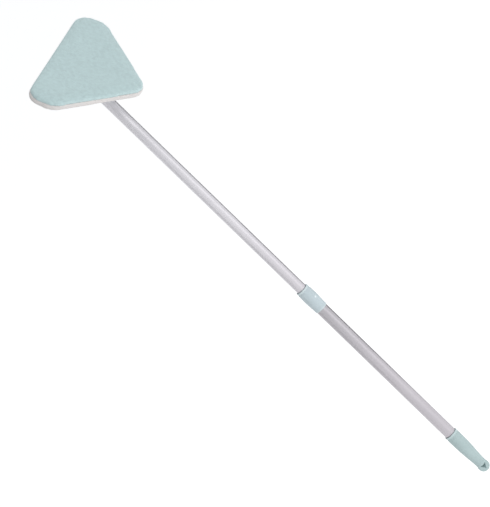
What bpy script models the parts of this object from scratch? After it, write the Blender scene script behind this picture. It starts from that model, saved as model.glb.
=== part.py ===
"""Telescopic algae scraper: a soft triangular pad on a swivel head, a two-stage pole and a grip.

Metres, +Z up. The pole stands along Z with the head at the top, and the origin is on the
pole's axis in the middle of the grip. The head has a frame of its own: x towards its nose,
y along its straight base edge, z out of the scrubbing face, zero at the pitch pin.
"""

import math

import bmesh
import bpy
from mathutils import Matrix, Vector

MM = 0.001

# ---- driving dimensions ----
GAP = 0.25 * MM  # clearance between neighbouring pieces
TUBE_SIDES = 64
ROUND_SIDES = 48
PIN_SIDES = 24

# grip and pole, along Z
GRIP_TIP_Z = -24.2 * MM
GRIP_MOUTH_Z = 24.2 * MM
OUTER_BOTTOM_Z = 13.5 * MM  # above where the grip tapers
OUTER_TOP_Z = 204.0 * MM
COLLAR_BOTTOM_Z = 188.8 * MM
COLLAR_TOP_Z = 213.4 * MM
INNER_BOTTOM_Z = 170.0 * MM
PITCH_PIN_Z = 475.8 * MM

INNER_R = 5.05 * MM
INNER_BORE = 4.6 * MM
OUTER_BORE = INNER_R + GAP
OUTER_R = 5.65 * MM
COLLAR_R = 6.6 * MM
GRIP_R = 6.4 * MM
WAIST_R = 4.9 * MM
EYE_R = 5.4 * MM
EYE_THICK = 5.0 * MM
HANG_HOLE_R = 3.0 * MM  # the hole's middle to its corners, before they are rounded
FACING = 39.0  # degrees about Z: the way the hang eye's flat sides look
DOT_TURN = -17.0  # degrees about Z from +X: the pin in the collar

# the head, in its own frame
PITCH = 60.0  # degrees about the pin along the head's y, at rest
HEAD_BASE_HALF = 63.2 * MM
HEAD_SIDE_HALF = 65.2 * MM
HEAD_SIDE_X = 25.5 * MM
HEAD_LENGTH = 88.0 * MM
CORNER_R = 13.0 * MM
SIDE_R = 16.0 * MM
PIN_FROM_BASE = 35.5 * MM
PIN_DEPTH = 17.0 * MM  # from the scrubbing face
SCRUB_THICK = 3.0 * MM
FOAM_THICK = 5.0 * MM
LOOP_THICK = 0.4 * MM
HOOK_THICK = 0.5 * MM
PLATE_THICK = 1.6 * MM
PLATE_INSET = 8.0 * MM
RIM_HIGH = 2.0 * MM
RIM_WIDE = 1.6 * MM
FLANGE_THICK = 1.5 * MM

# the swivel
KNUCKLE_LONG = 8.5 * MM  # pitch pin to swing pin
NECK_LONG = 8.5 * MM  # swing pin to the end of the tube
KNUCKLE_R = 4.2 * MM
BARREL_R = 3.5 * MM
BARREL_HALF = 4.9 * MM
WASHER_THICK = 0.5 * MM
LUG_THICK = 3.0 * MM
TONGUE_HALF = 2.4 * MM
EAR_OUT = 4.7 * MM
PIN_R = 1.4 * MM
PIN_HOLE_R = PIN_R + 0.2 * MM
SCREW_R = 1.1 * MM
SCREW_X = 7.0 * MM
SCREW_Y = 12.3 * MM
SWING_PIN_Z = PITCH_PIN_Z - KNUCKLE_LONG
INNER_TOP_Z = SWING_PIN_Z - NECK_LONG

# the twist lock
CAM_OFFSET = 0.15 * MM
CAM_R = OUTER_BORE - GAP
CAM_PIN_R = 3.0 * MM
CAM_LONG = 12.0 * MM
LOCK_PIN_R = 0.8 * MM
LOCK_PIN_HALF = 4.9 * MM
LOCK_PLUG_LONG = 16.0 * MM
LOCK_PIN_Z = INNER_BOTTOM_Z + LOCK_PLUG_LONG / 2
NECK_PLUG_LONG = 20.0 * MM
NECK_PIN_Z = INNER_TOP_Z - 3.0 * MM
CLEAR = 6.0 * MM  # how far a cutting tool runs past the piece on each side

for old in list(bpy.data.objects):
    bpy.data.objects.remove(old, do_unlink=True)

scraper = bpy.data.collections.new("algae_scraper")
cutters = bpy.data.collections.new("cutters")
for group in (scraper, cutters):
    bpy.context.scene.collection.children.link(group)


def material(name, colour, rough, metal=0.0):
    made = bpy.data.materials.new(name)
    made.use_nodes = True
    shader = made.node_tree.nodes["Principled BSDF"]
    shader.inputs["Base Color"].default_value = (*colour, 1)
    shader.inputs["Roughness"].default_value = rough
    shader.inputs["Metallic"].default_value = metal
    return made


FELT = material("pad_felt", (0.49, 0.61, 0.64), 0.95)
FOAM = material("pad_foam", (0.79, 0.75, 0.70), 0.9)
LOOP = material("pad_loop", (0.72, 0.74, 0.74), 0.95)
HOOK = material("hook_tape", (0.80, 0.82, 0.82), 0.7)
WHITE = material("head_plastic", (0.76, 0.78, 0.78), 0.45)
TEAL = material("collar_plastic", (0.56, 0.66, 0.71), 0.4)
GRIP = material("grip_plastic", (0.48, 0.61, 0.61), 0.5)
ALUMINIUM = material("tube_aluminium", (0.66, 0.65, 0.68), 0.35, 1.0)
STEEL = material("pin_steel", (0.58, 0.58, 0.6), 0.3, 1.0)
NYLON = material("lock_nylon", (0.82, 0.81, 0.77), 0.5)


def empty(name, parent=None, place=(0, 0, 0), turn=(0, 0, 0)):
    made = bpy.data.objects.new(name, None)
    made.location = place
    made.rotation_euler = [math.radians(a) for a in turn]
    made.parent = parent
    made.empty_display_size = 0.01
    scraper.objects.link(made)
    return made


def add(name, mesh, finish, frame=None):
    """A piece of the object, in the frame of an empty."""
    made = bpy.data.objects.new(name, mesh)
    made.parent = frame
    if finish:
        mesh.materials.append(finish)
        scraper.objects.link(made)
    else:
        made.hide_render = True
        made.display_type = "WIRE"
        cutters.objects.link(made)
    return made


def smooth(made, angle=35.0):
    made.data.shade_smooth()
    made.data.set_sharp_from_angle(angle=math.radians(angle))


def turned(name, profile, finish, frame=None, sides=ROUND_SIDES, ring=False):
    """A profile of (radius, height) turned about z. It runs down the outside; a ring's is closed."""
    mesh = bpy.data.meshes.new(name)
    edges = [(i, i + 1) for i in range(len(profile) - 1)]
    if ring:
        edges.append((len(profile) - 1, 0))
    mesh.from_pydata([(r, 0, z) for r, z in profile], edges, [])
    made = add(name, mesh, finish, frame)
    screw = made.modifiers.new("turn", "SCREW")
    screw.steps = screw.render_steps = sides
    screw.use_merge_vertices = True
    screw.merge_threshold = 0.00001
    screw.use_smooth_shade = True
    return made


def rod(name, radius, start, end, finish, frame=None, sides=PIN_SIDES, axis="z"):
    """A plain cylinder from start to end along an axis of its frame."""
    mesh = bpy.data.meshes.new(name)
    body = bmesh.new()
    bmesh.ops.create_cone(body, cap_ends=True, segments=sides, radius1=radius, radius2=radius,
                          depth=abs(end - start))
    turn = {"z": Matrix(), "x": Matrix.Rotation(math.pi / 2, 4, "Y"),
            "y": Matrix.Rotation(-math.pi / 2, 4, "X")}[axis]
    middle = {"z": Vector((0, 0, 1)), "x": Vector((1, 0, 0)), "y": Vector((0, 1, 0))}[axis]
    body.transform(Matrix.Translation(middle * (start + end) / 2) @ turn)
    body.to_mesh(mesh)
    body.free()
    made = add(name, mesh, finish, frame)
    smooth(made)
    return made


def block(name, low, high, finish, frame=None):
    """A box between two corners."""
    mesh = bpy.data.meshes.new(name)
    body = bmesh.new()
    bmesh.ops.create_cube(body, size=1)
    size = [b - a for a, b in zip(low, high)]
    middle = [(a + b) / 2 for a, b in zip(low, high)]
    body.transform(Matrix.Translation(middle) @ Matrix.Diagonal((*size, 1)))
    body.to_mesh(mesh)
    body.free()
    return add(name, mesh, finish, frame)


def rounded(corners, steps=8):
    """The outline through corners of (x, y, radius), each rounded by an arc."""
    points = []
    for i, (x, y, radius) in enumerate(corners):
        here = Vector((x, y))
        back = Vector(corners[i - 1][:2]) - here
        ahead = Vector(corners[(i + 1) % len(corners)][:2]) - here
        half = back.angle(ahead) / 2
        middle = here + (back.normalized() + ahead.normalized()).normalized() * radius / math.sin(half)
        first = here + back.normalized() * radius / math.tan(half) - middle
        last = here + ahead.normalized() * radius / math.tan(half) - middle
        sweep = first.angle_signed(last)
        for step in range(steps + 1):
            arm = first.copy()
            arm.rotate(Matrix.Rotation(-sweep * step / steps, 2))
            points.append(middle + arm)
    return points


def plate(name, points, low, high, finish, frame=None):
    """A flat outline made solid between two heights: a filled curve, its caps welded on."""
    curve = bpy.data.curves.new(name + "_outline", "CURVE")
    curve.dimensions = "2D"
    curve.fill_mode = "BOTH"
    curve.extrude = (high - low) / 2
    spline = curve.splines.new("POLY")
    spline.points.add(len(points) - 1)
    for point, (x, y) in zip(spline.points, points):
        point.co = (x, y, 0, 1)
    spline.use_cyclic_u = True
    drawn = bpy.data.objects.new(name + "_outline", curve)
    bpy.context.scene.collection.objects.link(drawn)
    graph = bpy.context.evaluated_depsgraph_get()
    mesh = bpy.data.meshes.new_from_object(drawn.evaluated_get(graph))
    bpy.data.objects.remove(drawn)
    body = bmesh.new()
    body.from_mesh(mesh)
    bmesh.ops.remove_doubles(body, verts=body.verts, dist=0.000001)
    bmesh.ops.recalc_face_normals(body, faces=body.faces)
    body.transform(Matrix.Translation((0, 0, (low + high) / 2)))
    body.to_mesh(mesh)
    body.free()
    mesh.materials.clear()
    return add(name, mesh, finish, frame)


def change(made, tool, operation):
    boolean = made.modifiers.new(tool.name, "BOOLEAN")
    boolean.operation = operation
    boolean.solver = "EXACT"
    boolean.object = tool


def cut(made, *tools):
    for tool in tools:
        change(made, tool, "DIFFERENCE")


def join(made, *tools):
    for tool in tools:
        change(made, tool, "UNION")


def bevel(made, width, segments, angle=50.0):
    edge = made.modifiers.new("edges", "BEVEL")
    edge.width = width
    edge.segments = segments
    edge.limit_method = "ANGLE"
    edge.angle_limit = math.radians(angle)


def head_outline(inset, steps=8):
    """The pad's outline pulled in by inset: a broad base, two short sides and a rounded nose."""
    sharp = [(0, -HEAD_BASE_HALF, CORNER_R), (HEAD_SIDE_X, -HEAD_SIDE_HALF, SIDE_R),
             (HEAD_LENGTH, 0, CORNER_R), (HEAD_SIDE_X, HEAD_SIDE_HALF, SIDE_R),
             (0, HEAD_BASE_HALF, CORNER_R)]
    pulled = []
    for i, (x, y, radius) in enumerate(sharp):
        here = Vector((x, y))
        back = Vector(sharp[i - 1][:2]) - here
        ahead = Vector(sharp[(i + 1) % len(sharp)][:2]) - here
        inward = (back.normalized() + ahead.normalized()).normalized()
        here += inward * inset / math.sin(back.angle(ahead) / 2)
        pulled.append((here.x - PIN_FROM_BASE, here.y, max(radius - inset, 2 * MM)))
    return rounded(pulled, steps)


# ---- frames ----
grip_frame = empty("grip_turn", turn=(0, 0, FACING))
pole = empty("pole_axis")
cam_axis = empty("cam_axis", place=(CAM_OFFSET, 0, 0))
knuckle = empty("knuckle_frame", place=(0, 0, PITCH_PIN_Z))
head = empty("head_frame", knuckle, turn=(0, PITCH, 0))


def make_grip():
    """The hand grip over the tube's end, drawn out to a flat eye to hang it by."""
    bore_r = OUTER_R + GAP
    bottom = OUTER_BOTTOM_Z - GAP
    eye_z = GRIP_TIP_Z + EYE_R
    waist = eye_z + 3.2 * MM
    shoulder = GRIP_MOUTH_Z - 5 * MM
    profile = [(0, bottom), (bore_r, bottom), (bore_r, GRIP_MOUTH_Z), (GRIP_R - 0.2 * MM, GRIP_MOUTH_Z),
               (GRIP_R, GRIP_MOUTH_Z - 0.4 * MM), (GRIP_R, GRIP_MOUTH_Z - 1.6 * MM),
               (GRIP_R - 0.3 * MM, GRIP_MOUTH_Z - 2.0 * MM), (GRIP_R, shoulder)]
    steps = 6
    for i in range(1, steps + 1):
        f = i / steps
        ease = f * f * (3 - 2 * f)
        profile.append((GRIP_R + (WAIST_R - GRIP_R) * ease, shoulder + (waist - shoulder) * f))
    profile += [(WAIST_R - 0.6 * MM, waist - 1.4 * MM), (0, waist - 1.8 * MM)]
    grip = turned("grip_cap", profile, GRIP, grip_frame)
    eye = rod("eye_lobe", EYE_R, -EYE_THICK / 2, EYE_THICK / 2, None, grip_frame, ROUND_SIDES, "y")
    eye.data.transform(Matrix.Translation((0, 0, eye_z)))
    bevel(eye, 1.0 * MM, 1)
    join(grip, eye)
    corners = [(HANG_HOLE_R * math.sin(math.tau * k / 3), -HANG_HOLE_R * math.cos(math.tau * k / 3), 0.7 * MM)
               for k in range(3)]
    hole = plate("hang_hole", rounded(corners, 4), -EYE_THICK, EYE_THICK, None, grip_frame)
    upright = Matrix.Rotation(math.pi / 2, 4, "X")
    hole.data.transform(Matrix.Translation((0, 0, eye_z + 0.9 * MM)) @ upright)
    cut(grip, hole)


def make_handle():
    turned("outer_tube", [(OUTER_BORE, OUTER_TOP_Z), (OUTER_R, OUTER_TOP_Z),
                          (OUTER_R, OUTER_BOTTOM_Z), (OUTER_BORE, OUTER_BOTTOM_Z)],
           ALUMINIUM, pole, TUBE_SIDES, ring=True)
    bush_bottom, bush_top = OUTER_TOP_Z + GAP, COLLAR_TOP_Z - 1.6 * MM
    turned("guide_bush", [(INNER_R + GAP, bush_top), (OUTER_R, bush_top),
                          (OUTER_R, bush_bottom), (INNER_R + GAP, bush_bottom)], NYLON, pole, ring=True)
    inside = OUTER_R + GAP
    lip_z = COLLAR_TOP_Z - 1.35 * MM
    body = [(INNER_R + GAP, COLLAR_TOP_Z), (COLLAR_R - 0.55 * MM, COLLAR_TOP_Z),
            (COLLAR_R - 0.4 * MM, COLLAR_TOP_Z - 0.3 * MM), (COLLAR_R - 0.4 * MM, COLLAR_TOP_Z - 1.8 * MM)]
    low, high = COLLAR_BOTTOM_Z + 1.5 * MM, COLLAR_TOP_Z - 1.8 * MM
    steps = 6
    for i in range(1, steps + 1):
        f = i / steps
        swell = 0.4 * MM * math.sin(math.pi * min(1.0, f * 1.15))
        body.append((COLLAR_R - 0.4 * MM - 0.05 * MM * f + swell, high + (low - high) * f))
    body += [(COLLAR_R - 0.6 * MM, COLLAR_BOTTOM_Z), (inside, COLLAR_BOTTOM_Z), (inside, lip_z),
             (INNER_R + GAP, lip_z)]
    collar = turned("collar", body, TEAL, pole, ring=True)
    dot_frame = empty("dot_turn", turn=(0, 0, DOT_TURN))
    dot_z = COLLAR_TOP_Z - 12 * MM
    hole = rod("dot_hole", 1.25 * MM, inside - 0.4 * MM, COLLAR_R + MM, None, dot_frame, PIN_SIDES, "x")
    dot = rod("collar_pin", 1.0 * MM, inside, COLLAR_R + 0.25 * MM, TEAL, dot_frame, PIN_SIDES, "x")
    for made in (hole, dot):
        made.data.transform(Matrix.Translation((0, 0, dot_z)))
    cut(collar, hole)
    bevel(dot, 0.25 * MM, 2)


def make_lock():
    """The eccentric plug under the inner tube, and the split sleeve that it wedges in the bore."""
    shoulder = INNER_BOTTOM_Z - GAP
    step = shoulder - 1.5 * MM
    cam_top, cam_bottom = step - GAP, step - GAP - CAM_LONG
    pin_end = cam_bottom - GAP
    plug_r = INNER_BORE - GAP
    plug_top = INNER_BOTTOM_Z + LOCK_PLUG_LONG
    rim_r = INNER_R - 0.05 * MM
    spindle = turned("lock_spindle", [(0, plug_top), (plug_r - 0.5 * MM, plug_top),
                                      (plug_r, plug_top - 0.8 * MM), (plug_r, shoulder),
                                      (rim_r, shoulder), (rim_r, step), (0, step)], NYLON, pole)
    stub = rod("cam_stub", CAM_PIN_R, step + 0.8 * MM, pin_end, None, cam_axis, ROUND_SIDES)
    screw_hole = rod("cam_screw_hole", SCREW_R + GAP, pin_end - MM, pin_end + 7 * MM, None, cam_axis)
    cross_hole = rod("spindle_pin_hole", LOCK_PIN_R + GAP, -CLEAR, CLEAR, None, pole, 16, "y")
    cross_hole.data.transform(Matrix.Translation((0, 0, LOCK_PIN_Z)))
    join(spindle, stub)
    cut(spindle, screw_hole, cross_hole)
    bore = CAM_PIN_R + 0.2 * MM
    cam = turned("lock_cam", [(bore, cam_top), (CAM_R - 0.4 * MM, cam_top), (CAM_R, cam_top - 0.4 * MM),
                              (CAM_R, cam_bottom + 0.4 * MM), (CAM_R - 0.4 * MM, cam_bottom),
                              (bore, cam_bottom)], NYLON, pole, ring=True)
    offset_bore = rod("cam_bore", bore, cam_bottom - MM, cam_top + MM, None, cam_axis, ROUND_SIDES)
    slit = block("cam_slit", (0, -0.75 * MM, cam_bottom - MM), (CLEAR, 0.75 * MM, cam_top + MM), None, pole)
    cut(cam, offset_bore, slit)
    washer_low = pin_end - GAP - 0.8 * MM
    turned("cam_washer", [(SCREW_R + GAP, pin_end - GAP), (4.6 * MM, pin_end - GAP),
                          (4.6 * MM, washer_low), (SCREW_R + GAP, washer_low)],
           STEEL, cam_axis, ring=True)
    make_screw("cam_screw", washer_low - GAP, 7.5 * MM, cam_axis, head_r=2.4 * MM)
    pin = rod("spindle_pin", LOCK_PIN_R, -LOCK_PIN_HALF, LOCK_PIN_HALF, STEEL, pole, 16, "y")
    pin.data.transform(Matrix.Translation((0, 0, LOCK_PIN_Z)))
    return cross_hole


def make_screw(name, seat, length, frame, head_r=2.3 * MM, place=(0, 0)):
    """A pan head screw: its head hangs below the seat, its shank runs up from it."""
    head_high = 1.3 * MM
    tip, crown = seat + length, seat - head_high
    made = turned(name, [(0, tip), (SCREW_R - 0.3 * MM, tip), (SCREW_R, tip - 0.4 * MM), (SCREW_R, seat),
                         (head_r, seat), (head_r, seat - 0.6 * MM), (head_r - 0.6 * MM, crown), (0, crown)],
                  STEEL, frame, PIN_SIDES)
    made.location = (*place, 0)


def make_pole(cross_hole):
    tube = turned("inner_tube", [(INNER_BORE, INNER_TOP_Z), (INNER_R, INNER_TOP_Z),
                                 (INNER_R, INNER_BOTTOM_Z), (INNER_BORE, INNER_BOTTOM_Z)],
                  ALUMINIUM, pole, TUBE_SIDES, ring=True)
    top_hole = rod("neck_pin_hole", LOCK_PIN_R + GAP, -CLEAR, CLEAR, None, pole, 16, "y")
    top_hole.data.transform(Matrix.Translation((0, 0, NECK_PIN_Z)))
    cut(tube, cross_hole, top_hole)
    pin = rod("neck_pin", LOCK_PIN_R, -LOCK_PIN_HALF, LOCK_PIN_HALF, STEEL, pole, 16, "y")
    pin.data.transform(Matrix.Translation((0, 0, NECK_PIN_Z)))
    plug_r = INNER_BORE - GAP
    shoulder = INNER_TOP_Z + GAP
    plug_end = INNER_TOP_Z - NECK_PLUG_LONG
    neck = turned("swivel_neck", [
        (0, shoulder + 3.4 * MM), (4.3 * MM, shoulder + 3.4 * MM), (5.0 * MM, shoulder + 2.7 * MM),
        (5.3 * MM, shoulder + 1.0 * MM), (5.3 * MM, shoulder + 0.3 * MM), (5.1 * MM, shoulder),
        (plug_r, shoulder), (plug_r, plug_end + MM), (plug_r - 0.6 * MM, plug_end), (0, plug_end)],
        WHITE, pole)
    eye = rod("neck_eye", KNUCKLE_R, -TONGUE_HALF, TONGUE_HALF, None, pole, 32, "x")
    eye.data.transform(Matrix.Translation((0, 0, SWING_PIN_Z)))
    web = block("neck_web", (-TONGUE_HALF, -KNUCKLE_R, shoulder + 2 * MM),
                (TONGUE_HALF, KNUCKLE_R, SWING_PIN_Z), None, pole)
    eye_hole = rod("neck_eye_hole", PIN_HOLE_R, -CLEAR, CLEAR, None, pole, PIN_SIDES, "x")
    eye_hole.data.transform(Matrix.Translation((0, 0, SWING_PIN_Z)))
    join(neck, web, eye)
    cut(neck, eye_hole, top_hole)


def make_pin(name, frame, axis, half, head_r, head_high, place):
    """A headed pin across a joint, and the push-on clip that keeps it in."""
    pin = rod(name, PIN_R, -half - 1.7 * MM, half + 0.1 * MM, STEEL, frame, PIN_SIDES, axis)
    cap = rod(name + "_head", head_r, half, half + head_high, None, frame, PIN_SIDES, axis)
    bevel(cap, 0.4 * MM, 2)
    join(pin, cap)
    clip = rod(name + "_clip", head_r, -half - 1.1 * MM, -half - 0.1 * MM, STEEL, frame, PIN_SIDES, axis)
    clip_hole = rod(name + "_clip_hole", PIN_HOLE_R, -half - 3 * MM, -half + MM, None, frame, PIN_SIDES, axis)
    for made in (pin, cap, clip, clip_hole):
        made.data.transform(Matrix.Translation(place))
    cut(clip, clip_hole)


def make_knuckle():
    """The link between the two crossed pins: a barrel on the head's, a fork on the neck's."""
    low = -KNUCKLE_LONG
    body = rod("knuckle_link", BARREL_R, -BARREL_HALF, BARREL_HALF, WHITE, knuckle, 32, "y")
    web = block("knuckle_web", (-EAR_OUT, -KNUCKLE_R, low), (EAR_OUT, KNUCKLE_R, -2.0 * MM), None, knuckle)
    ears = rod("knuckle_ears", KNUCKLE_R, -EAR_OUT, EAR_OUT, None, knuckle, 32, "x")
    ears.data.transform(Matrix.Translation((0, 0, low)))
    slot_half = TONGUE_HALF + GAP
    slot = block("knuckle_slot", (-slot_half, -CLEAR, low - CLEAR),
                 (slot_half, CLEAR, low + KNUCKLE_R + GAP), None, knuckle)
    pitch_hole = rod("knuckle_pitch_hole", PIN_HOLE_R, -CLEAR, CLEAR, None, knuckle, PIN_SIDES, "y")
    swing_hole = rod("knuckle_swing_hole", PIN_HOLE_R, -CLEAR, CLEAR, None, knuckle, PIN_SIDES, "x")
    swing_hole.data.transform(Matrix.Translation((0, 0, low)))
    join(body, web, ears)
    cut(body, slot, pitch_hole, swing_hole)
    make_pin("swing_pin", knuckle, "x", EAR_OUT + 0.1 * MM, 2.4 * MM, 1.0 * MM, (0, 0, low))


def make_head():
    """The plate and its bracket, stacked behind the pad. The head's z is 0 at the pitch pin."""
    face = PIN_DEPTH
    scrub_back = face - SCRUB_THICK
    foam_back = scrub_back - GAP - FOAM_THICK
    loop_back = foam_back - GAP - LOOP_THICK
    hook_back = loop_back - GAP - HOOK_THICK
    plate_front = hook_back - GAP
    plate_back = plate_front - PLATE_THICK
    flange_front = plate_back - GAP
    flange_back = flange_front - FLANGE_THICK

    scrub = plate("scrub_face", head_outline(0.6 * MM), scrub_back, face, FELT, head)
    bevel(scrub, 1.4 * MM, 3)
    foam = plate("foam_core", head_outline(0), foam_back, foam_back + FOAM_THICK, FOAM, head)
    bevel(foam, 0.8 * MM, 2)
    plate("loop_sheet", head_outline(1.5 * MM), loop_back, loop_back + LOOP_THICK, LOOP, head)

    # hook tape: two patches near the base and one near the nose
    for i, (x, y, long) in enumerate(((-8, -33, 40), (-8, 33, 40), (22, 0, 34)), 1):
        half_x, half_y = 9 * MM, long / 2 * MM
        corners = [(x * MM + half_x * a, y * MM + half_y * b, 3 * MM)
                   for a, b in ((-1, -1), (1, -1), (1, 1), (-1, 1))]
        plate(f"hook_patch_{i}", rounded(corners, 4), hook_back, hook_back + HOOK_THICK, HOOK, head)

    base = plate("base_plate", head_outline(PLATE_INSET), plate_back - RIM_HIGH, plate_front, WHITE, head)
    pocket = plate("plate_pocket", head_outline(PLATE_INSET + RIM_WIDE), plate_back - RIM_HIGH - MM,
                   plate_back, None, head)
    cut(base, pocket)
    # stiffening ribs run from the bracket to the rim
    for i, (turn, start, end) in enumerate(((0, 12, 34), (66, 18, 34), (-66, 18, 34),
                                            (122, 19, 49), (-122, 19, 49), (180, 12, 28)), 1):
        rib = block(f"rib_{i}", (start * MM, -0.7 * MM, plate_back - 1.5 * MM),
                    (end * MM, 0.7 * MM, plate_back + 0.5 * MM), None, head)
        rib.data.transform(Matrix.Rotation(math.radians(turn), 4, "Z"))
        join(base, rib)

    half_x, half_y = 10 * MM, 15.2 * MM
    flange = [(half_x * a, half_y * b, 4 * MM) for a, b in ((-1, -1), (1, -1), (1, 1), (-1, 1))]
    bracket = plate("swivel_bracket", rounded(flange, 6), flange_back, flange_front, WHITE, head)
    lug_in = BARREL_HALF + GAP + WASHER_THICK + GAP
    foot_half = 5.6 * MM
    for side in (-1, 1):
        start, end = side * lug_in, side * (lug_in + LUG_THICK)
        lug = rod(f"lug_{side}", KNUCKLE_R, start, end, None, head, 32, "y")
        foot = block(f"lug_foot_{side}", (-foot_half, min(start, end), 0),
                     (foot_half, max(start, end), flange_back + MM), None, head)
        taper = foot.data
        for vertex in taper.vertices:
            if vertex.co.z < flange_back:
                vertex.co.x *= KNUCKLE_R / foot_half
        join(bracket, foot, lug)
        washer = rod(f"pitch_washer_{1 if side < 0 else 2}", 3.3 * MM, side * (BARREL_HALF + GAP),
                     side * (BARREL_HALF + GAP + WASHER_THICK), STEEL, head, PIN_SIDES, "y")
        washer_hole = rod(f"washer_hole_{side}", PIN_HOLE_R, side * 3 * MM, side * 8 * MM,
                          None, head, PIN_SIDES, "y")
        cut(washer, washer_hole)
    pin_hole = rod("lug_hole", PIN_HOLE_R, -12 * MM, 12 * MM, None, head, PIN_SIDES, "y")
    cut(bracket, pin_hole)
    make_pin("pitch_pin", head, "y", lug_in + LUG_THICK + 0.1 * MM, 2.9 * MM, 1.3 * MM, (0, 0, 0))

    places = [(x * SCREW_X, y * SCREW_Y) for x in (-1, 1) for y in (-1, 1)]
    for i, (x, y) in enumerate(places, 1):
        hole = rod(f"screw_hole_{i}", SCREW_R + GAP, flange_back - CLEAR, plate_front + CLEAR, None, head)
        hole.data.transform(Matrix.Translation((x, y, 0)))
        cut(bracket, hole)
        cut(base, hole)
        make_screw(f"bracket_screw_{i}", flange_back - GAP, 3.5 * MM, head, place=(x, y))


make_grip()
make_handle()
make_pole(make_lock())
make_knuckle()
make_head()
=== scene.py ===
import math

import bpy
from mathutils import Matrix, Vector, noise


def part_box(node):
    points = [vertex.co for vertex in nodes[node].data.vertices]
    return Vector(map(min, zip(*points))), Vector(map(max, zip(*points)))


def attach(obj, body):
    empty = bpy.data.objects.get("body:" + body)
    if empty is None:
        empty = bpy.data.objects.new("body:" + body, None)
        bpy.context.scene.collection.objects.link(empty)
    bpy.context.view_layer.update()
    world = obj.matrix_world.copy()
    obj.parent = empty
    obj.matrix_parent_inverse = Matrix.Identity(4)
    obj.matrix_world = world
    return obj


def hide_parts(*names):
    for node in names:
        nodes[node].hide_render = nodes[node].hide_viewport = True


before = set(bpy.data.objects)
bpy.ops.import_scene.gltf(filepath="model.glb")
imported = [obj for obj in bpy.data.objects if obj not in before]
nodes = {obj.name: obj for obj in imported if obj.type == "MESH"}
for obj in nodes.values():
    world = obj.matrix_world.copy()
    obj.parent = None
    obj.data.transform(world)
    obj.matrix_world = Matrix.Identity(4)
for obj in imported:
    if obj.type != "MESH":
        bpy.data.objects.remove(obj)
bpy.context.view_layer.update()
mm = 0.001
print("frame loaded,", len(nodes), "CAD nodes")


# the view, the light and the floor

camera = {
    "azimuth": 39.0, "elevation": 13.9, "distance": 3.0, "roll": 45.9,
    "target": (0, 0, 0.2458), "lens": 245.0, "shift": (-0.0607, 0.0207),
}
studio = {
    "worldColour": (0.96, 0.98, 1.0), "worldStrength": 0.45,
    "floorColour": (0.9, 0.9, 0.9), "floorGlow": 0.6, "floorHeight": -0.42, "floorSize": 90.0,
    # name: (azimuth from the camera, elevation, distance, size, watts, colour)
    "lamps": {
        "keyLight": (30, 32, 2.4, 1.2, 18, (1.0, 0.99, 0.98)),
        "topLight": (150, 62, 2.6, 2.2, 16, (1.0, 1.0, 1.0)),
        "lowLight": (40, -12, 1.6, 0.8, 0.75, (1.0, 1.0, 1.0)),
    },
    # cards that only reflections see: (azimuth from the camera, distance, width, height, grey)
    "cards": {"leftCard": (-85, 1.6, 1.7, 2.4, 0.75), "rightCard": (130, 1.6, 1.1, 2.4, 0.12)},
}


def direction(azimuth, elevation):
    # away from the middle: azimuth 0 is the front, -Y, and 90 is +X
    a, e = math.radians(azimuth), math.radians(elevation)
    return Vector((math.sin(a) * math.cos(e), -math.cos(a) * math.cos(e), math.sin(e)))


def makeCamera():
    back = direction(camera["azimuth"], camera["elevation"])
    a, turn = math.radians(camera["azimuth"]), math.radians(camera["roll"])
    level = Vector((math.cos(a), math.sin(a), 0))
    upright = back.cross(level)
    right = level * math.cos(turn) - upright * math.sin(turn)
    up = level * math.sin(turn) + upright * math.cos(turn)
    lens = bpy.data.cameras.new("camera")
    lens.lens, lens.sensor_width = camera["lens"], 36
    lens.shift_x, lens.shift_y = camera["shift"]
    lens.clip_end = 100
    eye = bpy.data.objects.new("camera", lens)
    bpy.context.scene.collection.objects.link(eye)
    turned = Matrix((right, up, back)).transposed().to_4x4()
    target = Vector(camera["target"])
    eye.matrix_world = Matrix.Translation(target + back * camera["distance"]) @ turned
    bpy.context.scene.camera = eye


def makeLights():
    scene = bpy.context.scene
    scene.view_settings.view_transform = "Standard"
    world = bpy.data.worlds.new("studio")
    world.use_nodes = True
    sky = world.node_tree.nodes["Background"]
    sky.inputs["Color"].default_value = (*studio["worldColour"], 1)
    sky.inputs["Strength"].default_value = studio["worldStrength"]
    scene.world = world
    for name, (azimuth, elevation, distance, size, watts, colour) in studio["lamps"].items():
        lamp = bpy.data.lights.new(name, "AREA")
        lamp.shape, lamp.size, lamp.energy, lamp.color = "DISK", size, watts, colour
        made = bpy.data.objects.new(name, lamp)
        scene.collection.objects.link(made)
        away = direction(camera["azimuth"] + azimuth, elevation)
        made.location = Vector(camera["target"]) + away * distance
        made.rotation_euler = away.to_track_quat("Z", "Y").to_euler()
        made.visible_camera = False


# shader sums written as Python sums

class Value:
    def __init__(self, finish, socket):
        self.finish, self.socket = finish, socket

    def maths(self, operation, first, second):
        return self.finish.node("ShaderNodeMath", {"operation": operation}, {0: first, 1: second})

    def __add__(self, other):
        return self.maths("ADD", self, other)

    def __mul__(self, other):
        return self.maths("MULTIPLY", self, other)

    __radd__, __rmul__ = __add__, __mul__


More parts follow.
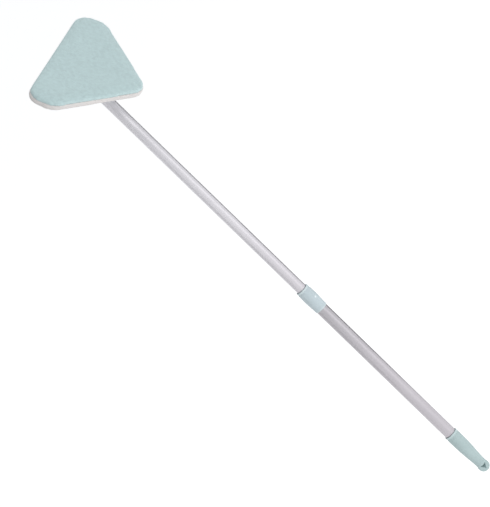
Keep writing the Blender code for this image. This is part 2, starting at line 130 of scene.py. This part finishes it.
class Finish:
    # one material; its constants go on the shader's own sockets
    def __init__(self, name, colour, rough, **fixed):
        self.material = bpy.data.materials.new(name)
        self.material.use_nodes = True
        tree = self.material.node_tree
        self.nodes, self.links = tree.nodes, tree.links
        self.shader = tree.nodes["Principled BSDF"]
        self.set("Base Color", (*colour, 1))
        self.set("Roughness", rough)
        for name, value in fixed.items():
            self.set(name.replace("_", " "), value)
        self.place = self.node("ShaderNodeTexCoord", out="Object")

    def set(self, socket, value):
        self.feed(self.shader.inputs[socket], value)

    def feed(self, socket, value):
        if isinstance(value, Value):
            self.links.new(value.socket, socket)
        else:
            socket.default_value = value

    def node(self, kind, settings=None, values=None, out=0):
        # any node: its settings first, then the values or links of its sockets
        made = self.nodes.new(kind)
        for name, value in (settings or {}).items():
            setattr(made, name, value)
        for name, value in (values or {}).items():
            self.feed(made.inputs[name], value)
        return Value(self, made.outputs[out])

    def grain(self, scale, detail=2.0, place=None, rough=0.5):
        return self.node("ShaderNodeTexNoise", None, {
            "Vector": place or self.place, "Scale": scale, "Detail": detail, "Roughness": rough})

    def drawn(self, scale):
        # the piece's own coordinates, scaled more one way than another
        return self.node("ShaderNodeMapping", None, {"Vector": self.place, "Scale": scale})

    def cells(self, scale, place=None):
        # the distance from the nearest cell's middle
        return self.node("ShaderNodeTexVoronoi", None, {
            "Vector": place or self.place, "Scale": scale}, "Distance")

    def along(self, axis):
        # how far along x, y or z, counted 0, 1 or 2
        return self.node("ShaderNodeSeparateXYZ", None, {"Vector": self.place}, axis)

    def ramp(self, value, low, high, start=0.0, end=1.0):
        # an eased rise from start at low to end at high
        return self.node("ShaderNodeMapRange", {"interpolation_type": "SMOOTHSTEP"}, {
            "Value": value, "From Min": low, "From Max": high, "To Min": start, "To Max": end})

    def mix(self, factor, first, second):
        # colours by place or by value: a Mix node's colour sockets are its 6 and 7, and its 2 out
        first, second = [v if isinstance(v, Value) else (*v, 1) for v in (first, second)]
        return self.node("ShaderNodeMix", {"data_type": "RGBA"}, {0: factor, 6: first, 7: second}, 2)

    def bump(self, height, distance, strength):
        self.set("Normal", self.node("ShaderNodeBump", None, {
            "Height": height, "Distance": distance, "Strength": strength}))


def shade(colour, amount):
    # a colour made lighter or darker
    return tuple(min(1.0, c * amount) for c in colour)


colours = {
    "felt": (0.452, 0.583, 0.592), "foam": (0.64, 0.615, 0.605), "loop": (0.70, 0.73, 0.73),
    "hook": (0.80, 0.82, 0.82), "headPlastic": (0.70, 0.72, 0.72),
    # the lighter rim colours of the collar and the grip are painted highlights
    "collar": (0.50, 0.585, 0.62), "collarRimHighlight": (0.60, 0.69, 0.71), "dot": (0.76, 0.84, 0.86),
    "grip": (0.425, 0.535, 0.54), "gripRimHighlight": (0.52, 0.63, 0.64),
    "tubeTopPaintedLight": (0.76, 0.745, 0.78), "tubeFootPaintedShade": (0.50, 0.475, 0.505),
    "steel": (0.60, 0.60, 0.62), "nylon": (0.82, 0.81, 0.77),
}


def feltFinish():
    # short pressed nap: soft mottling a few millimetres across, with fine crossing fibres
    base = colours["felt"]
    felt = Finish("feltNap", base, 0.95, Sheen_Weight=0.35, Sheen_Roughness=0.5)
    mottle = felt.grain(330, 3.0, rough=0.6)
    fibre = felt.grain(1, 3.0, felt.drawn((900, 2600, 2600)), 0.65)
    crossing = felt.grain(1, 3.0, felt.drawn((2600, 1000, 1500)), 0.65)
    depth = mottle * 0.5 + fibre * 0.3 + crossing * 0.3
    tone = felt.ramp(depth, 0.38, 0.72)
    worn = felt.grain(38, 2.0)
    colour = felt.mix(tone, shade(base, 0.89), shade(base, 1.08))
    felt.set("Base Color", felt.mix(felt.ramp(worn, 0.35, 0.75, 0.0, 0.35), colour, shade(base, 1.05)))
    felt.bump(depth, 0.35 * mm, 0.6)
    return felt.material


def foamFinish():
    # open cells just under a millimetre across, with painted shade darkening their pores
    base = colours["foam"]
    foam = Finish("foamCells", base, 0.92, Sheen_Weight=0.15)
    pores = foam.ramp(foam.cells(1500), 0.05, 0.45)
    patch = foam.grain(140, 3.0)
    # the darker pores are painted shade in the hollows of the cells
    foam.set("Base Color", foam.mix(pores * 0.7 + patch * 0.3, shade(base, 0.86), shade(base, 1.05)))
    foam.bump(pores * 0.7 + foam.grain(2600, 2.0) * 0.3, 0.25 * mm, 0.7)
    return foam.material


def loopFinish():
    # brushed knitted loops in rows along the pad
    base = colours["loop"]
    loop = Finish("loopKnit", base, 0.95, Sheen_Weight=0.4)
    knit = loop.cells(1, place=loop.drawn((1100, 750, 1100)))
    fuzz = loop.grain(1700, 3.0)
    height = loop.ramp(knit, 0.0, 0.6, 1.0, 0.0) * 0.7 + fuzz * 0.3
    # the low parts between the loops are painted darker: painted shade
    loop.set("Base Color", loop.mix(height, shade(base, 0.8), shade(base, 1.08)))
    loop.bump(height, 0.3 * mm, 0.8)
    return loop.material


def mouldedFinish(name, base, rough, lip=None, highlightBands=(), fine=2600, **fixed):
    # spark-eroded satin with slight flow marks; bands of (low, middle, high) along z are painted lighter
    # as a painted highlight
    made = Finish(name, base, rough, **fixed)
    flow = made.grain(45, 3.0)
    spark = made.grain(fine, 2.0)
    colour = made.mix(made.ramp(flow, 0.3, 0.7), shade(base, 0.965), shade(base, 1.03))
    colour = made.mix(made.ramp(spark, 0.45, 0.75, 0.0, 0.25), colour, shade(base, 1.12))
    # each band mixes in the lighter rim colour: a painted highlight
    for low, middle, high in highlightBands:
        height = made.along(2)
        rise = made.ramp(height, low, middle) * made.ramp(height, middle, high, 1.0, 0.0)
        colour = made.mix(rise, colour, lip)
    made.set("Base Color", colour)
    made.set("Roughness", made.ramp(made.grain(420, 3.0), 0.3, 0.7, rough - 0.06, rough + 0.08))
    made.bump(spark * 0.8 + flow * 0.2, 0.05 * mm, 0.35)
    return made.material


def tubeFinish():
    # satin anodising over fine drawing lines that run along the pole, darker towards the foot as painted
    # shade
    tube = Finish("anodisedTube", colours["tubeTopPaintedLight"], 0.3, Metallic=0.85)
    lines = tube.grain(1, 2.0, tube.drawn((2600, 2600, 14)))
    cloud = tube.grain(28, 3.0)
    height = tube.along(2)
    # painted shade: the colour darkens from the top of the pole down to its foot
    colour = tube.mix(tube.ramp(height, 0.08, 0.42), colours["tubeFootPaintedShade"], colours["tubeTopPaintedLight"])
    colour = tube.mix(tube.ramp(lines, 0.3, 0.7, 0.0, 0.16), colour, shade(colours["tubeFootPaintedShade"], 0.8))
    tube.set("Base Color", tube.mix(tube.ramp(cloud, 0.4, 0.75, 0.0, 0.1), colour, (0.9, 0.89, 0.9)))
    tube.set("Roughness", tube.ramp(lines * 0.6 + cloud * 0.4, 0.3, 0.7, 0.3, 0.42))
    tube.bump(lines, 0.02 * mm, 0.25)
    return tube.material


def steelFinish():
    # plain turned steel with fine tool marks and a little staining
    steel = Finish("turnedSteel", colours["steel"], 0.3, Metallic=1.0)
    marks = steel.grain(1, 2.0, steel.drawn((900, 900, 5200)))
    stain = steel.grain(700, 3.0)
    steel.set("Base Color", steel.mix(steel.ramp(stain, 0.4, 0.8), colours["steel"],
                                      shade(colours["steel"], 0.72)))
    steel.set("Roughness", steel.ramp(marks, 0.3, 0.7, 0.22, 0.42))
    steel.bump(marks, 0.02 * mm, 0.3)
    return steel.material


def floorFinish():
    paper = Finish("palePaper", studio["floorColour"], 0.9)
    soft = paper.grain(0.35, 2.0)
    base = studio["floorColour"]
    paper.set("Base Color", paper.mix(soft, shade(base, 0.985), base))
    paper.set("Emission Color", (1, 1, 1, 1))
    paper.set("Emission Strength", studio["floorGlow"])
    return paper.material


def cardFinish(name, grey):
    card = Finish(name, (grey,) * 3, 0.9)
    card.set("Base Color", card.mix(card.grain(40), (0.95 * grey,) * 3, (grey,) * 3))
    return card.material


box = {name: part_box(name) for name in nodes}
collarTop, collarFoot = box["collar"][1].z, box["collar"][0].z
gripTop = box["grip_cap"][1].z
finishes = {
    "felt": feltFinish(),
    "foam": foamFinish(),
    "loop": loopFinish(),
    "hook": mouldedFinish("hookNylon", colours["hook"], 0.55, fine=3400),
    "head": mouldedFinish("headPlastic", colours["headPlastic"], 0.45),
    # painted highlight bands at the collar's top rim and at its foot
    "collar": mouldedFinish("collarPlastic", colours["collar"], 0.42, colours["collarRimHighlight"], [
        (collarTop - 2.2 * mm, collarTop - 1.0 * mm, collarTop + 1.5 * mm),
        (collarFoot - 1.5 * mm, collarFoot + 0.2 * mm, collarFoot + 1.6 * mm)]),
    # the pin is coloured lighter than the collar as a painted highlight on its dome
    "dot": mouldedFinish("collarPinPlastic", colours["dot"], 0.35),
    # a painted highlight band at the grip's top rim
    "grip": mouldedFinish("gripPlastic", colours["grip"], 0.5, colours["gripRimHighlight"], [
        (gripTop - 2.6 * mm, gripTop - 1.0 * mm, gripTop + 1.5 * mm)]),
    "tube": tubeFinish(),
    "steel": steelFinish(),
    "nylon": mouldedFinish("lockNylon", colours["nylon"], 0.45, Subsurface_Weight=0.1,
                           Subsurface_Scale=0.5 * mm),
}
print("finishes made:", len(finishes))


# modelling helpers, each on one piece at a time

def pick(piece):
    bpy.ops.object.select_all(action="DESELECT")
    piece.select_set(True)
    bpy.context.view_layer.objects.active = piece
    return piece


def edit(piece, kind="VERT"):
    pick(piece)
    bpy.ops.object.mode_set(mode="EDIT")
    bpy.ops.mesh.select_mode(type=kind)
    bpy.ops.mesh.select_all(action="SELECT")


def leave():
    bpy.ops.object.mode_set(mode="OBJECT")


def choose(piece, test):
    # selects the faces whose middle and normal pass the test, and stays in edit mode
    edit(piece, "FACE")
    bpy.ops.mesh.select_all(action="DESELECT")
    leave()
    for face in piece.data.polygons:
        face.select = test(face.center, face.normal)
    bpy.ops.object.mode_set(mode="EDIT")


def started(name):
    made = bpy.context.object
    made.name = made.data.name = name
    bpy.ops.object.transform_apply(location=True, rotation=True, scale=True)
    return made


def place(piece, matrix):
    piece.data.transform(matrix)
    piece.data.update()
    return piece


def change(piece, kind, **settings):
    # adds a modifier and applies it
    pick(piece)
    made = piece.modifiers.new(kind.lower(), kind)
    for name, value in settings.items():
        setattr(made, name, value)
    bpy.ops.object.modifier_apply(modifier=made.name)


def reshape(piece, rule):
    # moves every point by a rule that reads its place and normal before any has moved
    old = [(v.co.copy(), v.normal.copy()) for v in piece.data.vertices]
    piece.data.vertices.foreach_set("co", [x for point, normal in old for x in rule(point, normal)])
    piece.data.update()


def tidyMesh(piece, gap=0.004 * mm, outward=True):
    edit(piece)
    bpy.ops.mesh.remove_doubles(threshold=gap)
    if outward:
        bpy.ops.mesh.normals_make_consistent(inside=False)
    leave()


def finishPiece(piece, body, finish, replaced=(), angle=35):
    pick(piece)
    if angle:
        bpy.ops.object.shade_smooth_by_angle(angle=math.radians(angle))
    else:
        bpy.ops.object.shade_smooth()
    piece.data.materials.clear()
    piece.data.materials.append(finishes[finish])
    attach(piece, body)
    if replaced:
        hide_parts(*replaced)
    return piece


def lathe(name, profile, sides, ring=True):
    # a circle drawn out along z and scaled at each (radius, height) of the profile
    bpy.ops.object.select_all(action="DESELECT")
    bpy.ops.mesh.primitive_circle_add(vertices=sides, radius=profile[0][0],
                                      location=(0, 0, profile[0][1]))
    made = started(name)
    edit(made)
    route = profile[1:] + (profile[:1] if ring else [])
    lastRadius, lastHeight = profile[0]
    for radius, height in route:
        bpy.ops.mesh.extrude_region_move(TRANSFORM_OT_translate={"value": (0, 0, height - lastHeight)})
        if radius:
            grow = radius / lastRadius
            bpy.ops.transform.resize(value=(grow, grow, 1), center_override=(0, 0, height))
        else:
            bpy.ops.mesh.merge(type="CENTER")
        lastRadius, lastHeight = radius, height
    leave()
    if not ring:  # the start of a solid is closed with one face
        edit(made)
        bpy.ops.mesh.select_all(action="DESELECT")
        bpy.ops.mesh.select_non_manifold()
        bpy.ops.mesh.edge_face_add()
        leave()
    tidyMesh(made)
    return made


def refined(node, name, edge=0.1 * mm, steps=2):
    # a CAD node's shape with its loose triangles merged and its sharp edges broken
    made = bpy.data.objects.new(name, nodes[node].data.copy())
    bpy.context.scene.collection.objects.link(made)
    tidyMesh(made, outward=False)
    edit(made)
    bpy.ops.mesh.dissolve_limited(angle_limit=math.radians(0.5))
    leave()
    if edge:
        change(made, "BEVEL", width=edge, segments=steps, limit_method="ANGLE",
               angle_limit=math.radians(40), use_clamp_overlap=True)
        tidyMesh(made, gap=0.001 * mm, outward=False)
    return made


def arc(middle, radius, start, end, steps):
    # points (radius, height) round a corner of a profile
    turns = [math.radians(start + (end - start) * i / steps) for i in range(steps + 1)]
    return [(middle[0] + radius * math.cos(t), middle[1] + radius * math.sin(t)) for t in turns]


# the two tubes

tubes = {"sides": 144, "round": 0.12 * mm, "outerBore": 5.3 * mm, "outerRadius": 5.65 * mm,
         "innerBore": 4.6 * mm, "innerRadius": 5.05 * mm}


def makeTube(node, name, body, bore, outside):
    # an open tube with all four of its edges rounded
    low, high = box[node][0].z, box[node][1].z
    r = tubes["round"]
    profile = (arc((bore + r, high - r), r, 180, 90, 3) + arc((outside - r, high - r), r, 90, 0, 3)
               + arc((outside - r, low + r), r, 0, -90, 3) + arc((bore + r, low + r), r, -90, -180, 3))
    made = lathe(name, profile, tubes["sides"])
    return finishPiece(made, body, "tube", [node])


makeTube("outer_tube", "outerTube", "handle", tubes["outerBore"], tubes["outerRadius"])
makeTube("inner_tube", "innerTube", "pole", tubes["innerBore"], tubes["innerRadius"])
print("tubes made")


# the collar and its pin

collar = {"sides": 144, "bore": 5.3 * mm, "inside": 5.9 * mm, "outside": 6.6 * mm,
          "rimIn": 0.45 * mm, "round": 0.3 * mm, "lip": 1.5 * mm, "step": 1.35 * mm,
          "swell": 0.42 * mm, "taper": 0.05 * mm, "rings": 22,
          "dotTurn": -17.0, "dotDrop": 12.0 * mm, "dotRadius": 1.0 * mm, "dotProud": 0.22 * mm}


def makeCollar():
    top, foot, r = collarTop, collarFoot, collar["round"]
    rim = collar["outside"] - collar["rimIn"]
    profile = arc((rim - r, top - r), r, 90, 0, 4) + [(rim, top - collar["lip"])]
    # a fine groove under the lip, then a side that swells and narrows to the foot
    profile += arc((rim + 0.05 * mm, top - 1.85 * mm), 0.15 * mm, 160, 200, 2)
    low, high = foot + collar["lip"], top - 2.1 * mm
    for ring in range(collar["rings"] + 1):
        f = ring / collar["rings"]
        swell = collar["swell"] * math.sin(math.pi * min(1.0, f * 1.15)) ** 0.8
        profile.append((rim - collar["taper"] * f + swell, high + (low - high) * f))
    profile += arc((rim - collar["taper"] - r, foot + r), r, 0, -90, 4)
    profile += [(collar["inside"], foot), (collar["inside"], top - collar["step"]),
                (collar["bore"], top - collar["step"]), (collar["bore"], top)]
    finishPiece(lathe("collarSleeve", profile, collar["sides"]), "handle", "collar", ["collar"])
    # the pin: a short round bar with a domed end
    pin, out = collar["dotRadius"], collar["outside"] + collar["dotProud"]
    dome = [(pin, collar["inside"])] + arc((pin - r, out - r), r, 0, 80, 4)
    dome += [(pin * 0.35, out + 0.02 * mm), (0, out + 0.03 * mm)]
    dot = lathe("collarDot", dome, 32, ring=False)
    turn = Matrix.Rotation(math.radians(collar["dotTurn"]), 4, "Z") @ Matrix.Rotation(math.pi / 2, 4, "Y")
    place(dot, Matrix.Translation((0, 0, top - collar["dotDrop"])) @ turn)
    finishPiece(dot, "handle", "dot", ["collar_pin"])


makeCollar()
print("collar made")


# the grip: a turned sleeve run into a flat round eye, with a rounded triangular hole

grip = {"radius": 6.4 * mm, "waist": 4.9 * mm, "bore": 5.9 * mm, "boreFloor": 13.25 * mm,
        "lip": 1.5 * mm, "round": 0.22 * mm, "groove": 0.3 * mm, "shoulder": 5.0 * mm,
        "swell": 0.3 * mm, "rings": 14, "facing": 39.0,
        "eyeRadius": 5.4 * mm, "eyeThick": 5.0 * mm, "eyeRound": 1.3 * mm,
        "holeRadius": 3.7 * mm, "holeRound": 0.85 * mm, "holeTilt": 28.0, "holeRise": 1.0 * mm,
        "voxel": 0.26 * mm}


def makeGrip():
    eyeZ = box["grip_cap"][0].z + grip["eyeRadius"]
    waistZ, shoulder = eyeZ + 3.2 * mm, gripTop - grip["shoulder"]
    wide, waist, r = grip["radius"], grip["waist"], grip["round"]
    profile = [(grip["bore"], grip["boreFloor"]), (grip["bore"], gripTop)]
    profile += arc((wide - r, gripTop - r), r, 90, 0, 3) + [(wide, gripTop - grip["lip"])]
    profile += [(wide - grip["groove"], gripTop - 1.85 * mm), (wide - r, gripTop - 2.3 * mm),
                (wide, shoulder)]
    for ring in range(1, grip["rings"] + 1):
        f = ring / grip["rings"]
        ease = f * f * (3 - 2 * f)
        swell = grip["swell"] * math.sin(math.pi * f) ** 2
        profile.append((wide + (waist - wide) * ease + swell, shoulder + (waistZ - shoulder) * f))
    profile += [(waist - 0.5 * mm, waistZ - 1.3 * mm), (0, waistZ - 1.9 * mm)]
    made = lathe("gripSleeve", profile, 96, ring=False)
    # the eye: a thick disc with a rounded rim
    bpy.ops.object.select_all(action="DESELECT")
    bpy.ops.mesh.primitive_cylinder_add(vertices=96, radius=grip["eyeRadius"], depth=grip["eyeThick"],
                                        location=(0, 0, eyeZ), rotation=(math.pi / 2, 0, 0))
    eye = started("eyeDisc")
    change(eye, "BEVEL", width=grip["eyeRound"], segments=5, limit_method="ANGLE",
           angle_limit=math.radians(50))
    # the hole: a three-sided bar with rounded edges
    bpy.ops.object.select_all(action="DESELECT")
    bpy.ops.mesh.primitive_cylinder_add(vertices=3, radius=grip["holeRadius"], depth=4 * grip["eyeThick"],
                                        rotation=(math.pi / 2, 0, 0))
    bar = started("holeBar")
    lowest = min(v.co.z for v in bar.data.vertices)
    if abs(lowest) < grip["holeRadius"] * 0.9:  # one corner points down to the tip
        place(bar, Matrix.Rotation(math.pi, 4, "Y"))
    change(bar, "BEVEL", width=grip["holeRound"], segments=4, limit_method="ANGLE",
           angle_limit=math.radians(60))
    # the hole slopes down through the eye from its mouth on the facing side
    mouth = Matrix.Translation((0, -grip["eyeThick"] / 2, 0))
    place(bar, mouth @ Matrix.Rotation(math.radians(grip["holeTilt"]), 4, "X") @ mouth.inverted())
    place(bar, Matrix.Translation((0, 0, eyeZ + grip["holeRise"])))
    change(made, "BOOLEAN", operation="UNION", solver="EXACT", object=eye)
    change(made, "BOOLEAN", operation="DIFFERENCE", solver="EXACT", object=bar)
    for tool in (eye, bar):
        bpy.data.objects.remove(tool)
    change(made, "REMESH", mode="VOXEL", voxel_size=grip["voxel"], adaptivity=0)
    change(made, "SMOOTH", factor=0.5, iterations=3)
    place(made, Matrix.Rotation(math.radians(grip["facing"]), 4, "Z"))
    finishPiece(made, "handle", "grip", ["grip_cap"], angle=0)


makeGrip()
print("grip made")


# the head's pieces are shaped flat and then turned to where the pitch pin holds them

head = {"pinZ": 475.8 * mm, "pitch": 60.0, "voxel": 1.5 * mm}
toWorld = (Matrix.Translation((0, 0, head["pinZ"]))
           @ Matrix.Rotation(math.radians(head["pitch"]), 4, "Y"))
toFlat = toWorld.inverted()


def flatCopy(node, name):
    # a pad layer's CAD shape laid flat, its face up
    made = bpy.data.objects.new(name, nodes[node].data.copy())
    bpy.context.scene.collection.objects.link(made)
    place(made, toFlat)
    tidyMesh(made, outward=False)
    return made


def sway(point, size, seed):
    # smooth noise from -1 to 1, about one lump to each size
    return noise.noise(Vector(point) / size + Vector((seed, seed * 1.7, seed * 0.3)))


felt = {"pressure": 4.0, "mass": 0.0006, "frames": 20, "cap": 0.9 * mm, "glue": 0.8 * mm,
        "lumps": 0.07 * mm, "seat": 0.2 * mm,  # seat: how far the back reaches down to the foam
        # the edge is pressed out and down over the foam, less and less further in and up
        "rimOut": 1.1 * mm, "rimDown": 2.2 * mm, "rimIn": 1.6 * mm, "rimUp": 2.8 * mm}


def makeFelt():
    made = flatCopy("scrub_face", "padFelt")
    low = min(v.co.z for v in made.data.vertices)
    high = max(v.co.z for v in made.data.vertices)
    sides = [(face.center.copy(), face.normal.copy()) for face in made.data.polygons
             if abs(face.normal.z) < 0.1]
    change(made, "REMESH", mode="VOXEL", voxel_size=head["voxel"], adaptivity=0)
    rest = [v.co.copy() for v in made.data.vertices]
    glued = made.vertex_groups.new(name="glued")  # the back is stuck to the foam
    glued.add([i for i, p in enumerate(rest) if p.z < low + felt["glue"]], 1, "REPLACE")
    puff = made.modifiers.new("puff", "CLOTH")
    settings = puff.settings
    settings.use_pressure = True
    settings.uniform_pressure_force = felt["pressure"]
    settings.mass = felt["mass"]
    settings.vertex_group_mass = "glued"
    settings.effector_weights.gravity = 0
    puff.collision_settings.use_collision = False
    for step in range(1, felt["frames"] + 1):
        bpy.context.scene.frame_set(step)
    pick(made)
    bpy.ops.object.modifier_apply(modifier="puff")
    furthest = 0.0
    for vertex, start in zip(made.data.vertices, rest):
        move = vertex.co - start
        furthest = max(furthest, move.length)
        if move.length > felt["cap"]:
            move *= felt["cap"] / move.length
        vertex.co = start + move
    bpy.context.scene.frame_set(1)
    made.vertex_groups.clear()
    change(made, "SUBSURF", levels=1, render_levels=1)

    def lumpy(point, normal):  # shallow lumps in the nap, none on the glued back
        up = min(1.0, max(0.0, (point.z - low - 0.6 * mm) / (high - low)))
        lump = sway(point, 2.6 * mm, 3) + 1.2 * sway(point, 11 * mm, 8)
        moved = point + normal * felt["lumps"] * up * lump
        moved.z = max(moved.z, low)
        rise = moved.z - low
        inside, outward = min(((middle - moved).dot(out), tuple(out)) for middle, out in sides)
        near = max(0.0, 1 - max(0.0, inside) / felt["rimIn"]) * max(0.0, 1 - rise / felt["rimUp"])
        moved += Vector(outward) * felt["rimOut"] * near
        moved.z -= felt["rimDown"] * near + felt["seat"] * max(0.0, 1 - rise / felt["glue"])
        return moved

    reshape(made, lumpy)
    place(made, toWorld)
    finishPiece(made, "pad", "felt", ["scrub_face"], angle=0)
    print("felt moved at most", round(furthest / mm, 3), "mm")


makeFelt()


foam = {"bulge": 0.35 * mm, "lumps": 0.05 * mm}  # a firm slab, its sides a little rounded


def makeFoam():
    made = flatCopy("foam_core", "padFoam")
    low = min(v.co.z for v in made.data.vertices)
    high = max(v.co.z for v in made.data.vertices)
    change(made, "REMESH", mode="VOXEL", voxel_size=head["voxel"], adaptivity=0)
    change(made, "SUBSURF", levels=1, render_levels=1)
    middle, half = (low + high) / 2, (high - low) / 2

    def bulging(point, normal):
        side = Vector((normal.x, normal.y, 0))
        full = foam["bulge"] * max(0.0, 1 - ((point.z - middle) / half) ** 2)
        lump = sway(point, 1.4 * mm, 5) + sway(point, 6 * mm, 2)
        moved = point + side * (full + foam["lumps"] * lump)
        moved.z = min(max(moved.z, low), high)
        return moved

    reshape(made, bulging)
    place(made, toWorld)
    finishPiece(made, "pad", "foam", ["foam_core"], angle=0)


makeFoam()


loop = {"spacing": 3.0 * mm, "thick": 0.3 * mm, "ripple": 0.03 * mm}


def makeLoop():
    # the cloth's outer face alone, cut into a grid, rippled and given its thickness
    made = flatCopy("loop_sheet", "padLoop")
    choose(made, lambda middle, normal: normal.z < 0.9)
    bpy.ops.mesh.delete(type="FACE")
    bpy.ops.mesh.select_all(action="SELECT")
    bpy.ops.mesh.dissolve_limited(angle_limit=math.radians(1))
    leave()
    points = [v.co.copy() for v in made.data.vertices]
    for axis in (0, 1):
        start, end = min(p[axis] for p in points), max(p[axis] for p in points)
        normal = (1, 0, 0) if axis == 0 else (0, 1, 0)
        at = start + loop["spacing"]
        while at < end - 0.2 * mm:
            edit(made)
            bpy.ops.mesh.bisect(plane_co=tuple(n * at for n in normal), plane_no=normal)
            leave()
            at += loop["spacing"]
    size = [max(p[i] for p in points) - min(p[i] for p in points) for i in (0, 1)]
    area = sum(face.area for face in made.data.polygons)

    def rippled(point, normal):
        return point + Vector((0, 0, loop["ripple"] * (sway(point, 9 * mm, 4) - 1)))

    reshape(made, rippled)
    change(made, "SOLIDIFY", thickness=loop["thick"], offset=-1)
    place(made, toWorld)
    finishPiece(made, "pad", "loop", ["loop_sheet"])
    print("loop cloth", [round(s / mm, 1) for s in size], "mm,", round(area / mm / mm), "mm2")


makeLoop()
print("pad made")


# the rest keep their CAD shapes, with merged faces and broken edges

kept = {
    "swivel_neck": ("swivelNeck", "pole", "head", 0.12 * mm),
    "knuckle_link": ("knuckleLink", "knuckle", "head", 0.12 * mm),
    "swivel_bracket": ("swivelBracket", "head", "head", 0.12 * mm),
    "base_plate": ("basePlate", "head", "head", 0.15 * mm),
    "hook_patch_1": ("hookTape1", "head", "hook", 0.05 * mm),
    "hook_patch_2": ("hookTape2", "head", "hook", 0.05 * mm),
    "hook_patch_3": ("hookTape3", "head", "hook", 0.05 * mm),
    "swing_pin": ("swingPin", "knuckle", "steel", 0.06 * mm),
    "swing_pin_clip": ("swingPinClip", "knuckle", "steel", 0.08 * mm),
    "pitch_pin": ("pitchPin", "head", "steel", 0.06 * mm),
    "pitch_pin_clip": ("pitchPinClip", "head", "steel", 0.08 * mm),
    "pitch_washer_1": ("pitchWasher1", "head", "steel", 0.05 * mm),
    "pitch_washer_2": ("pitchWasher2", "head", "steel", 0.05 * mm),
    "bracket_screw_1": ("bracketScrew1", "head", "steel", 0.06 * mm),
    "bracket_screw_2": ("bracketScrew2", "head", "steel", 0.06 * mm),
    "bracket_screw_3": ("bracketScrew3", "head", "steel", 0.06 * mm),
    "bracket_screw_4": ("bracketScrew4", "head", "steel", 0.06 * mm),
    "guide_bush": ("guideBush", "handle", "nylon", 0.06 * mm),
    "lock_cam": ("lockCam", "cam", "nylon", 0.08 * mm),
    "lock_spindle": ("lockSpindle", "pole", "nylon", 0.08 * mm),
    "spindle_pin": ("spindlePin", "pole", "steel", 0.08 * mm),
    "neck_pin": ("neckPin", "pole", "steel", 0.08 * mm),
    "cam_washer": ("camWasher", "pole", "steel", 0.06 * mm),
    "cam_screw": ("camScrew", "pole", "steel", 0.06 * mm),
}
for node, (name, body, finish, edge) in kept.items():
    finishPiece(refined(node, name, edge), body, finish, [node])
print("fittings made:", len(kept))


def makeFloor():
    bpy.ops.object.select_all(action="DESELECT")
    bpy.ops.mesh.primitive_plane_add(size=studio["floorSize"], location=(0, 0, studio["floorHeight"]))
    floor = started("floor")
    floor.data.materials.append(floorFinish())
    for name, (azimuth, distance, width, height, grey) in studio["cards"].items():
        away = direction(camera["azimuth"] + azimuth, 0)
        bpy.ops.object.select_all(action="DESELECT")
        bpy.ops.mesh.primitive_plane_add(size=1, location=away * distance + Vector((0, 0, height / 4)),
                                         rotation=away.to_track_quat("Z", "Y").to_euler())
        card = bpy.context.object
        card.scale = (width, height, 1)
        card = started(name)
        card.data.materials.append(cardFinish(name, grey))
        card.visible_camera = card.visible_diffuse = card.visible_shadow = False


makeFloor()
makeLights()
makeCamera()
bpy.ops.object.select_all(action="DESELECT")
